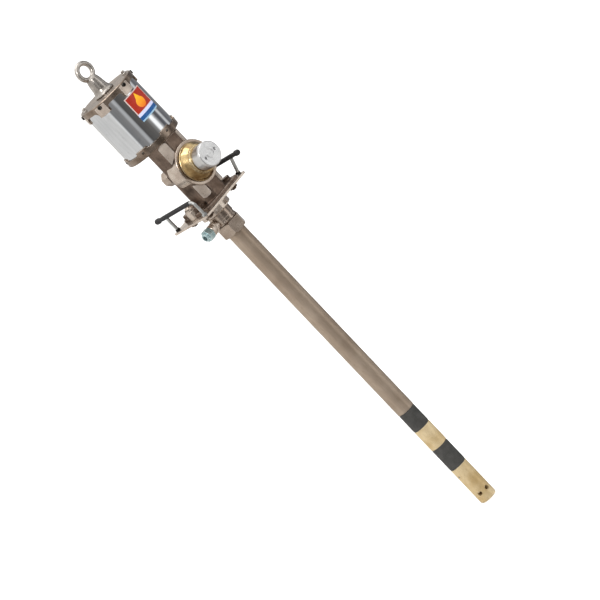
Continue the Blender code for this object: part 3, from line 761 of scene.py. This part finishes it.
def make_outlet_body():
    low = COLLAR_TOP + 0.3
    body = turned("outlet_casting", [
        (16, low), (31.5, low), (33, low + 1.8), (33, low + 5), (31.6, low + 6.4), (31.6, low + 13),
        (33, low + 14.5), (33, RING_LOW - 3.5), (31.5, RING_LOW - 2), (31.5, RING_LOW - 0.6),
        (30, RING_LOW - 0.2), (30, PLATE_LOW - 0.2), (16, PLATE_LOW - 0.2)], 0.6)
    port = turned("port", rod_outline(12, 24, 50), 0.2, SMOOTH, along((-1, 0, 0), (0, 0, PORT_Z)))
    combine(body, port, "DIFFERENCE")
    show(body, NICKEL, ["outlet_body"], bevel=0.3)

    ring = prism("lock_ring_blank", soften(polygon(12, 45, math.radians(15)), 2.0, 3, on_axis=False),
                 RING_LOW, RING_TOP)
    trim(ring, [(0, RING_TOP), (42.6, RING_TOP), (45.2, RING_TOP - 2.2), (45.2, RING_LOW + 2.2),
                (42.6, RING_LOW), (0, RING_LOW)], 0.8)
    drill(ring, 30.3, RING_LOW - 5, RING_TOP + 5)
    notches = bmesh.new()
    for angle in around(8, 10):
        prism_into(notches, rectangle(-6, 6, -52, -38.5, 2.2, 4), RING_LOW + 3.7, RING_TOP - 4,
                   Matrix.Rotation(angle, 4, "Z"))
    combine(ring, solid("notches", notches), "DIFFERENCE")
    show(ring, NICKEL_PALE, ["lock_ring"], bevel=0.5)


def make_side_fitting():
    side = along((-1, 0, 0), (0, 0, PORT_Z))
    coupling = turned("union_body", [
        (7, 21), (11.7, 21), (11.7, 33.3), (12.8, 34), (12.8, 38.5), (16, 39), (16, 43), (13, 45), (13, 48),
        (15.5, 50), (15.5, 58), (14, 60), (7, 60)], 0.5, SMOOTH, side)
    show(coupling, NICKEL_PALE, ["outlet_coupling"])
    nut = prism("nut", polygon(6, 17.5, math.radians(30)), 60.3, 78, side)
    trim(nut, [(0, 60.3), (15.4, 60.3), (17.6, 62.2), (17.6, 76.1), (15.4, 78), (0, 78)], 0.4, SMOOTH, side)
    tip = turned("tip", [(0, 77), (10.7, 77), (10.7, NIPPLE_END - 1.4), (9.6, NIPPLE_END - 0.2),
                         (0, NIPPLE_END - 0.2)],
                 0.3, SMOOTH, side)
    combine(nut, tip, "UNION")
    drill(nut, 7, 55, 95, COARSE, side)
    nut.name = "union_nut"
    show(nut, BLUE_ZINC, ["outlet_nipple"], bevel=0.4)
    thread = grow("union_thread", THREAD, BLUE_ZINC, side, Radius=10.5 * MM, Pitch=1.6 * MM, Turns=3.0,
                  Low_Height=78.8 * MM)
    show(thread, BLUE_ZINC)


# ---------------------------------------------------------------- plate and handles

BOLTS = [(x, y) for x in (-55, 55) for y in (-45, 30)]
HEX = math.tau / 12


def hex_nut(name, place, low, high, radius, bore=0.0):
    """A hexagon with turned crowns at both ends."""
    nut = prism(name, polygon(6, radius, HEX), low, high, place)
    trim(nut, [(0, low), (radius * 0.88, low), (radius + 0.1, low + radius * 0.10),
               (radius + 0.1, high - radius * 0.10), (radius * 0.88, high), (0, high)], 0.2, SMOOTH, place)
    if bore:
        drill(nut, bore, low - 5, high + 5, COARSE, place)
    return nut


def make_plate():
    plate = prism("bearer_plate", rectangle(-PLATE_X, PLATE_X, -PLATE_Y, PLATE_Y, 10), PLATE_LOW, PLATE_TOP)
    drill(plate, ROD_BORE, PLATE_LOW - 5, PLATE_TOP + 5, SMOOTH)
    for number, (x, y) in enumerate(BOLTS, 1):
        place = Matrix.Translation((x, y, 0))
        drill(plate, 6.3, PLATE_LOW - 5, PLATE_TOP + 5, COARSE, place)
        head_low = COLUMN_LOW + 10.3
        head = hex_nut(f"bolt_head_{number}", place, head_low + 1.6, head_low + 9.8, 11.4)
        washer = turned("washer", rod_outline(11.5, head_low, head_low + 1.7), 0.3, SMOOTH, place)
        combine(head, washer, "UNION")
        shank = turned("shank", rod_outline(5.6, 1027.4, head_low + 2), 0.6, COARSE, place)
        combine(head, shank, "UNION")
        show(head, BOLT_STEEL, [f"plate_bolt_{number}"], bevel=0.3)
        nut = hex_nut(f"bolt_nut_{number}", place, 1030.4, PLATE_LOW - 0.2, 11.4, 6.0)
        show(nut, BOLT_STEEL, [f"plate_nut_{number}"], bevel=0.3)
    threads = grow("bolt_thread", THREAD, BOLT_STEEL, Radius=5.55 * MM, Pitch=1.0 * MM, Turns=3.0,
                   Low_Height=1027.9 * MM)
    copies = bmesh.new()
    for x, y in BOLTS:
        copies.from_mesh(threads.data)
        fresh = copies.verts[-len(threads.data.vertices):]
        bmesh.ops.translate(copies, vec=(x * MM, y * MM, 0), verts=fresh)
    copies.to_mesh(threads.data)
    copies.free()
    threads.name = "bolt_threads"
    show(threads, BOLT_STEEL)
    show(plate, NICKEL_PALE, ["handle_plate"], bevel=0.9)


def tube_along(name, route, radius):
    """A round bar along a route of points."""
    curve = bpy.data.curves.new(name, "CURVE")
    curve.dimensions = "3D"
    curve.bevel_depth = radius * MM
    curve.bevel_resolution = ROD_STEPS
    curve.use_fill_caps = True
    spline = curve.splines.new("POLY")
    spline.points.add(len(route) - 1)
    for point, spot in zip(spline.points, route):
        point.co = (*(spot * MM), 1)
    path = new_object(name + "_path", curve)
    shown = path.evaluated_get(bpy.context.evaluated_depsgraph_get())
    mesh = bpy.data.meshes.new_from_object(shown)
    bpy.data.objects.remove(path, do_unlink=True)
    bm = bmesh.new()
    bm.from_mesh(mesh)
    bmesh.ops.remove_doubles(bm, verts=bm.verts, dist=0.00002)
    bmesh.ops.recalc_face_normals(bm, faces=bm.faces)
    mesh = bpy.data.meshes.new(name)
    bm.to_mesh(mesh)
    bm.free()
    return new_object(name, mesh)


def make_handle(side, word, overhang, splay, lean):
    """A bent rod with a post near its free end, nuts at both feet, and a rubber grip over its bar."""
    foot = PLATE_TOP + 1.3
    top = HANDLE_Z - foot
    bend = 12.0
    leg_y = 72
    post_y = 59
    free_end = post_y + overhang
    place = (Matrix.Translation((side * HANDLE_X, 0, foot))
             @ Matrix.Rotation(math.radians(splay) * side, 4, "Y")
             @ Matrix.Rotation(math.pi if side > 0 else 0, 4, "Z"))
    corner = [(-leg_y + bend - bend * math.cos(step), top - bend + bend * math.sin(step))
              for step in (math.pi / 2 * index / 12 for index in range(13))]
    route = [place @ Vector((0, y, z)) for y, z in [(-leg_y, -0.8)] + corner + [(free_end, top)]]
    rod = tube_along("rod_" + word, route, ROD_R)
    tilt = math.radians(lean)
    post_place = place @ Matrix.Translation((0, post_y, 0)) @ Matrix.Rotation(-tilt, 4, "X")
    post_foot = 4.5 * math.sin(tilt) - 0.8
    post_top = (top - 1.6) / math.cos(tilt)
    post = turned("post", [(0, post_foot), (4.5, post_foot), (4.5, post_top - 4.7), (3.6, post_top - 3.1),
                           (3.6, post_top), (0, post_top)], 0.4, COARSE, post_place)
    combine(rod, post, "UNION")
    show(rod, ZINC, ["handle_" + word])
    for kind, y, size, finish in (("leg", -leg_y, 7.2, ZINC), ("post", post_y, 6.6, BLACK_STEEL)):
        nut = hex_nut(f"{kind}_nut_{word}", place @ Matrix.Translation((0, y, 0)), -0.6, 6.4, size)
        show(nut, finish, bevel=0.25)
    bar = place @ Matrix.Translation((0, 0, top)) @ along((0, 1, 0))
    start = -leg_y + bend + 1
    end = free_end + 0.3
    grip = turned("sleeve_" + word, [
        (4.3, start), (4.9, start), (5.9, start + 1.2), (5.9, start + 4), (5.6, start + 6), (5.6, end - 18),
        (5.9, end - 13), (7.6, end - 9), (7.85, end - 1), (7.3, end + 2.6), (4.6, end + 4.7), (0, end + 4.9),
        (0, end), (4.3, end)], 1.2, SMOOTH, bar)
    show(grip, RUBBER, ["grip_" + word])
    ribs = int((end - 18 - start - 9) / 2.4)
    rings = grow("grip_ribs_" + word, ROW_OF_RIBS, RUBBER, bar, Count=ribs, First_Height=(start + 8) * MM,
                 Spacing=2.4 * MM, Radius=5.55 * MM, Thickness=0.55 * MM)
    show(rings, RUBBER)


# ---------------------------------------------------------------- column and air valve

def make_column():
    front = -74.5
    section = soften([(42, -5), (16, 28), (-16, 28), (-42, -5), (-42, front + 22), (-20, front), (20, front),
                      (42, front + 22)], 3.5, 4, on_axis=False)
    column = prism("column_casting", section, COLUMN_LOW + 1, COLUMN_TOP)
    foot = prism("foot", rectangle(-68, 68, -79, 46, 12), COLUMN_LOW, COLUMN_LOW + 10)
    combine(column, foot, "UNION")
    web = turned("web", [(0, COLUMN_LOW + 8), (58, COLUMN_LOW + 8), (50, COLUMN_LOW + 12),
                         (45, COLUMN_LOW + 17), (41, COLUMN_LOW + 26), (0, COLUMN_LOW + 26)], 3.0, FINE,
                         Matrix.Translation((0, -18, 0)))
    combine(column, web, "UNION")
    for side in (-1, 1):
        root = turned("boss_root", [(0, 20), (15, 20), (14, 50), (13, 55), (0, 55)], 1.5, SMOOTH,
                      along((side, 0, 0), (0, 0, BOSS_Z)))
        combine(column, root, "UNION")
    holes = bmesh.new()
    turn_into(holes, rod_outline(ROD_BORE, COLUMN_LOW - 5, COLUMN_TOP + 5), SMOOTH)
    turn_into(holes, rod_outline(38, 22, 90), FINE, FRONT)
    combine(column, solid("holes", holes), "DIFFERENCE")
    round_off(column, 1.3, 4)
    # The whole column takes the darker nickel, which paints shade onto its sides.
    show(column, NICKEL_PAINTED_SHADE, ["center_body"], ridges=0.12)
    barrel = turned("valve_barrel", [
        (38, 19), (49, 19), (51.8, 21.5), (51.8, 66), (50.6, 67.2), (50.6, 70), (51.8, 71.2), (51.8, 75.1),
        (38, 75.1)], 0.8, FINE, FRONT)
    show(barrel, NICKEL_PALE)
    for side in (-1, 1):
        word = "left" if side < 0 else "right"
        dome = turned("dome_" + word, [
            (0, COLUMN_LOW + 0.4), (17, COLUMN_LOW + 0.4), (17, DOME_TOP - 15), (16.4, DOME_TOP - 14),
            (16.4, DOME_TOP - 12.5), (15.8, DOME_TOP - 9.5), (13.4, DOME_TOP - 5.4), (9.5, DOME_TOP - 2.2),
            (4.5, DOME_TOP - 0.6), (0, DOME_TOP - 0.2)], 0.5, SMOOTH,
            Matrix.Translation((side * DOME_X, 0, 0)))
        show(dome, NICKEL_PALE)
        place = (Matrix.Translation((side * 31, front + 11, 0))
                 @ Matrix.Rotation(side * math.radians(45), 4, "Z"))
        back = Matrix.Rotation(math.pi / 2, 4, "X")
        low = 1072
        face = soften([(-13, COLUMN_TOP - 0.5), (-13, low), (13, low), (13, COLUMN_TOP - 0.5)], 9.0, 8,
                      on_axis=False)
        face = [(x, y if y < 1150 else min(y, COLUMN_TOP - 0.5)) for x, y in face]
        pad = prism("pad_" + word, face, -4.6, 3.0, place @ Matrix.Rotation(math.pi, 4, "Z") @ back)
        drill(pad, 56, 5, 90, FINE, FRONT)
        show(pad, NICKEL_WARM, bevel=1.2)
    inlet = along((0, 1, 0), (0, 0, VALVE_Z))
    fitting = prism("inlet_nut", polygon(8, 23, math.tau / 16), 28.3, 56, inlet)
    trim(fitting, [(0, 28.3), (22.4, 28.3), (23.1, 29), (23.1, 54.6), (21.8, 56), (0, 56)], 0.5, FINE, inlet)
    socket = turned("socket", [(0, 36), (10, 36), (10, 54.4), (11.4, 56.5), (0, 56.5)], 0.1, SMOOTH, inlet)
    combine(fitting, socket, "DIFFERENCE")
    show(fitting, NICKEL, ["inlet_fitting"], bevel=0.5)


def make_valve():
    flange = turned("valve_flange_ring", [
        (34, 75.3), (58.2, 75.3), (60, 76.6), (60, 80.6), (58.6, 82), (52.6, 82), (52.0, 81.2), (49.4, 81.2),
        (48.8, 82), (34, 82)], 0.5, FINE, FRONT)
    show(flange, NICKEL, ["valve_flange"])
    bell = turned("bell", [
        (38, 82.3), (51.4, 82.3), (52, 83), (52, 86), (50.5, 87.4), (49.9, 90.5), (47.6, 94.4), (44, 99.4),
        (41, 103.6), (39, 106.4), (39.3, 107.6), (39.3, 110.4), (37, 112), (36.5, 114.7), (26, 114.7),
        (26, 109), (34, 96)], 0.7, FINE, FRONT)
    show(bell, BRASS, ["brass_bell"])
    cap = turned("cap", [
        (0, 123), (22, 123), (22, 110), (25.7, 110), (25.7, 115), (33.2, 115), (34, 116), (34, 143),
        (33.4, 144.2), (33.4, 145.4), (33.9, 146.6), (33.2, 149.2), (31.2, CAP_END - 0.2),
        (12, CAP_END - 0.2), (11.4, CAP_END - 0.8), (10.6, CAP_END - 0.8), (10, CAP_END - 0.2),
        (1.6, CAP_END - 0.2), (0, CAP_END - 1.6)], 0.35, FINE, FRONT)
    for x in (-19.5, 19.5):
        hole = turned("hole", [(0, CAP_END - 9), (3.8, CAP_END - 9), (3.8, CAP_END - 1),
                               (4.7, CAP_END + 0.4), (0, CAP_END + 0.4)],
                      0.05, COARSE, FRONT @ Matrix.Translation((x, 0, 0)))
        combine(cap, hole, "DIFFERENCE")
    cap.name = "turned_cap"
    show(cap, CAP_METAL, ["end_cap"])


# ---------------------------------------------------------------- air motor

def lobed_head(name, face, skirt, lobe):
    """A head whose skirt reaches over the cylinder in six lobes."""
    way = 1 if face > lobe else -1
    inner = CYLINDER_R + 0.3
    head = turned(name, [
        (0, face), (HEAD_R - 2.4, face), (HEAD_R - 0.4, face - way * 1.6), (HEAD_R, face - way * 3.6),
        (HEAD_R, lobe), (inner, lobe), (inner, skirt + way * 2), (0, skirt + way * 2)], 0.9, 144)
    half = math.tau * HEAD_R / 12 - 18
    beyond = lobe - way * 6
    gap = soften([(-half - 8, beyond), (half + 8, beyond), (half + 1, (lobe + skirt) / 2), (half - 6, skirt),
                  (-half + 6, skirt), (-half - 1, (lobe + skirt) / 2)], 4.0, 5, on_axis=False)
    gaps = bmesh.new()
    for angle in around(6, 30):
        prism_into(gaps, gap, inner - 3, HEAD_R + 10, radial_place(angle, 0))
    combine(head, solid("gaps", gaps), "DIFFERENCE")
    return head


def socket_screw(name, angle, height, low, high, radius):
    """A round screw head with a rolled edge and a hexagon socket, pointing outward."""
    place = radial_place(angle, height)
    screw = turned(name, [(0, low), (radius, low), (radius, high - 1.0), (radius - 1.0, high), (0, high)],
                   0.4, SMOOTH, place)
    combine(screw, prism("socket", polygon(6, radius * 0.52, HEX), high - 2.2, high + 3, place), "DIFFERENCE")
    return screw


def make_motor():
    base = lobed_head("base_head", HEAD_LOW, CYLINDER_LOW - 0.3, edge("bottom_head", 2, 1))
    drill(base, ROD_BORE, HEAD_LOW - 5, CYLINDER_LOW + 8, SMOOTH)
    show(base, NICKEL_BROWN, ["bottom_head"], bevel=0.6)
    cylinder = turned("chrome_shell", tube_outline(75, CYLINDER_R, CYLINDER_LOW, CYLINDER_TOP), 0.5, 192)
    show(cylinder, CHROME, ["cylinder_tube"])
    cover = lobed_head("cover_head", COVER_TOP - 0.2, CYLINDER_TOP - 1.7, edge("top_head", 2, 0))
    raised = turned("raised", [(0, COVER_TOP - 2), (60, COVER_TOP - 2), (60, COVER_TOP - 0.9),
                               (58.5, COVER_TOP - 0.05), (0, COVER_TOP - 0.05)], 0.3, FINE)
    combine(cover, raised, "UNION")
    show(cover, NICKEL_BROWN, ["top_head"], bevel=0.6)
    skin = tube_outline(HEAD_R - 1.5, HEAD_R + 0.25, edge("top_head", 2, 0) + 0.6, COVER_TOP - 5)
    faces = turned("cover_lobe_faces", skin, 0.5, 144)
    keep = bmesh.new()
    for angle in around(6):
        prism_into(keep, rectangle(-15.5, 15.5, 1390, 1440, 3), HEAD_R - 12, HEAD_R + 5,
                   radial_place(angle, 0))
    combine(faces, solid("keep", keep), "INTERSECT")
    show(faces, NICKEL_WARM, bevel=0.2)
    for number, angle in enumerate(around(6), 1):
        screw = socket_screw(f"lobe_screw_{number}", angle, SCREW_Z, HEAD_R + 0.1, HEAD_R + 3.9, 5.5)
        show(screw, BLACK_STEEL, [f"head_screw_{number}"], bevel=0.15)
    small = socket_screw("base_screw", 0.0, CYLINDER_LOW - 3, HEAD_R - 0.4, HEAD_R + 1.4, 3.4)
    screws = grow("base_screws", CIRCLE_OF_PARTS, BLACK_STEEL, Part=small, Count=6, Start_Angle=0.0)
    bpy.data.objects.remove(small, do_unlink=True)
    show(screws, BLACK_STEEL)
    stud = turned("stud", [
        (0, COVER_TOP - 1), (6.2, COVER_TOP - 1), (6.2, COVER_TOP + 1.6), (4.6, COVER_TOP + 2.2),
        (4.6, COVER_TOP + 8.2), (3.4, COVER_TOP + 9.8),
        (0, COVER_TOP + 9.8)], 0.4, COARSE, Matrix.Translation((0, -68, 0)))
    studs = grow("cover_studs", CIRCLE_OF_PARTS, NICKEL_STEEL, Part=stud, Count=2,
                 Start_Angle=math.radians(60))
    bpy.data.objects.remove(stud, do_unlink=True)
    show(studs, NICKEL_STEEL)


def make_eye():
    shank = turned("eye_forging", [
        (0, 1484), (12.5, 1484), (16, 1478), (18.4, 1469), (20, 1458), (21.4, 1446), (24.6, 1438.5),
        (28.6, 1434.6), (29, EYE_LOW), (0, EYE_LOW)], 2.0, FINE)
    bm = bmesh.new()
    wire = [(22.4 + 6.6 * math.cos(step), 6.6 * math.sin(step)) for step in around(32)]
    turn_into(bm, wire, FINE, along(FRONT_AXIS, (0, 0, EYE_TOP - 29)))
    combine(shank, solid("ring", bm), "UNION")
    round_off(shank, 0.9, 7)
    show(shank, NICKEL_STEEL, ["lifting_eye"], ridges=0.10)


def make_label():
    """A thin curved sticker with its own UV map."""
    low, high = heights("label_plate")
    start = math.asin(edge("label_plate", 0, 0) / (CYLINDER_R + 0.9))
    end = math.asin(edge("label_plate", 0, 1) / (CYLINDER_R + 0.9))
    columns, rows = 40, 20
    bm = bmesh.new()
    layer = bm.loops.layers.uv.new("print")
    grid = {}
    for radius in (CYLINDER_R + 0.05, CYLINDER_R + 0.45):
        for column in range(columns + 1):
            for row in range(rows + 1):
                across = column / columns
                up = row / rows
                angle = start + (end - start) * across
                spot = (radius * math.sin(angle), -radius * math.cos(angle), low + (high - low) * up)
                grid[radius, column, row] = (bm.verts.new(spot), (across, up))
    inner, outer = sorted({key[0] for key in grid})

    def add(*keys):
        corners = [grid[key] for key in keys]
        face = bm.faces.new([corner[0] for corner in corners])
        for loop, corner in zip(face.loops, corners):
            loop[layer].uv = corner[1]

    for radius in (inner, outer):
        for column in range(columns):
            for row in range(rows):
                add((radius, column, row), (radius, column + 1, row), (radius, column + 1, row + 1),
                    (radius, column, row + 1))
    for column in range(columns):
        for row in (0, rows):
            add((inner, column, row), (inner, column + 1, row), (outer, column + 1, row),
                (outer, column, row))
    for row in range(rows):
        for column in (0, columns):
            add((inner, column, row), (inner, column, row + 1), (outer, column, row + 1),
                (outer, column, row))
    show(solid("sticker", bm), STICKER, ["label_plate"])


# ---------------------------------------------------------------- frame nodes that stay

def paint_frame():
    """Give every CAD node the finish of its slot."""
    for row in frame["record"]["subparts"]:
        mesh = frame["nodes"][row["node"]].data
        mesh.materials.clear()
        mesh.materials.append(FINISHES[row["material_slot"]][0])


# ---------------------------------------------------------------- studio

def make_floor():
    bpy.ops.mesh.primitive_circle_add(vertices=64, radius=60, fill_type="NGON", location=(0, 0, -0.0005))
    floor = bpy.context.object
    floor.name = "studio_floor"
    material, kit, shader = finish_of("floor_paper")
    tone = kit.noise(0.6, 2.0)
    plug(kit.tree, shader.inputs["Base Color"], kit.mix(tone, (0.90, 0.90, 0.90), (0.93, 0.93, 0.93)))
    shader.inputs["Roughness"].default_value = 0.9
    shader.inputs["Emission Color"].default_value = (1, 1, 1, 1)
    shader.inputs["Emission Strength"].default_value = 0.42
    floor.data.materials.append(material)
    floor.visible_glossy = False


def make_world():
    """A soft studio: pale wall on one side, darker room with tall strip lights on the other."""
    world = bpy.data.worlds.new("studio")
    bpy.context.scene.world = world
    world.use_nodes = True
    kit = Shading(world.node_tree)
    back = world.node_tree.nodes["Background"]
    across, ahead, up = kit.split(kit.node("TexCoord", output=0))
    heading = across.math("ARCTAN2", across, ahead * -1) / math.tau
    turn = (heading + 0.5 - CAMERA_AZIMUTH / 360).math("FRACT", heading + 0.5 - CAMERA_AZIMUTH / 360)
    room = kit.node("ValToRGB", {"stops": [
        (0.000, (0.70, 0.68, 0.65)), (0.150, (0.84, 0.82, 0.79)), (0.370, (0.82, 0.80, 0.77)),
        (0.388, (0.98, 0.97, 0.95)), (0.404, (0.24, 0.24, 0.24)), (0.470, (0.30, 0.29, 0.285)),
        (0.490, (0.60, 0.60, 0.60)), (0.508, (0.52, 0.52, 0.52)), (0.524, (0.11, 0.105, 0.10)),
        (0.610, (0.16, 0.15, 0.14)), (0.645, (0.36, 0.35, 0.34)), (0.664, (1.35, 1.34, 1.32)),
        (0.690, (1.35, 1.34, 1.32)), (0.712, (0.50, 0.50, 0.50)), (0.738, (0.12, 0.12, 0.13)),
        (0.768, (0.16, 0.16, 0.17)), (0.790, (0.80, 0.80, 0.80)), (0.808, (0.62, 0.62, 0.62)),
        (0.830, (0.16, 0.16, 0.17)), (0.930, (0.26, 0.26, 0.27)),
        (1.000, (0.70, 0.68, 0.65))]}, {"Fac": turn})
    lid = kit.mix(up.above(0.42, 0.72), room, (1.25, 1.24, 1.22))
    pit = kit.mix((up * -1).above(0.30, 0.62), lid, (0.46, 0.43, 0.40))
    seen = kit.node("LightPath", output="Is Camera Ray")
    shown = kit.mix(seen, pit, (0.97, 0.97, 0.97))
    plug(kit.tree, back.inputs["Color"], shown)


def add_light(name, place, target, size, power):
    light = bpy.data.lights.new(name, "AREA")
    light.shape = "RECTANGLE"
    light.size, light.size_y = size
    light.energy = power
    obj = new_object(name, light)
    obj.location = place
    obj.rotation_euler = (Vector(target) - Vector(place)).to_track_quat("-Z", "Y").to_euler()


CAMERA_AZIMUTH = -35.0    # from the front (-Y), towards -X
CAMERA_ELEVATION = 10.8
CAMERA_DISTANCE = 14.0
CAMERA_LEAN = 43.53       # how far the pump leans to the left in the picture
VIEW_WIDTH = 1.511
AIM = Vector((-0.0025, 0.0017, 0.7065))


def make_camera():
    turn = math.radians(CAMERA_AZIMUTH)
    lift = math.radians(CAMERA_ELEVATION)
    lean = math.radians(CAMERA_LEAN)
    away = Vector((math.sin(turn) * math.cos(lift), -math.cos(turn) * math.cos(lift), math.sin(lift)))
    right = Vector((0, 0, 1)).cross(away).normalized()
    up = away.cross(right)
    camera_up = up * math.cos(lean) + right * math.sin(lean)
    camera_right = right * math.cos(lean) - up * math.sin(lean)
    camera = bpy.data.cameras.new("camera")
    camera.sensor_width = 36
    camera.lens = camera.sensor_width * CAMERA_DISTANCE / VIEW_WIDTH
    camera.clip_end = 200
    obj = new_object("camera", camera)
    basis = Matrix((camera_right, camera_up, away)).transposed().to_4x4()
    obj.matrix_world = Matrix.Translation(AIM + away * CAMERA_DISTANCE) @ basis
    bpy.context.scene.camera = obj


make_foot()
make_barrel()
make_collar()
make_outlet_body()
make_side_fitting()
make_plate()
make_handle(-1, "left", 40.0, 1.0, 0.0)
make_handle(1, "right", 50.0, 8.0, 18.0)
make_column()
make_valve()
make_motor()
make_eye()
make_label()
paint_frame()
make_floor()
make_world()
make_camera()
add_light("key", (-3.2, -2.6, 4.2), (0, 0, 1.1), (1.6, 1.6), 60)
add_light("top", (0.4, 0.2, 5.0), (0, 0, 1.0), (2.4, 2.4), 50)
bpy.context.scene.view_settings.view_transform = "Standard"
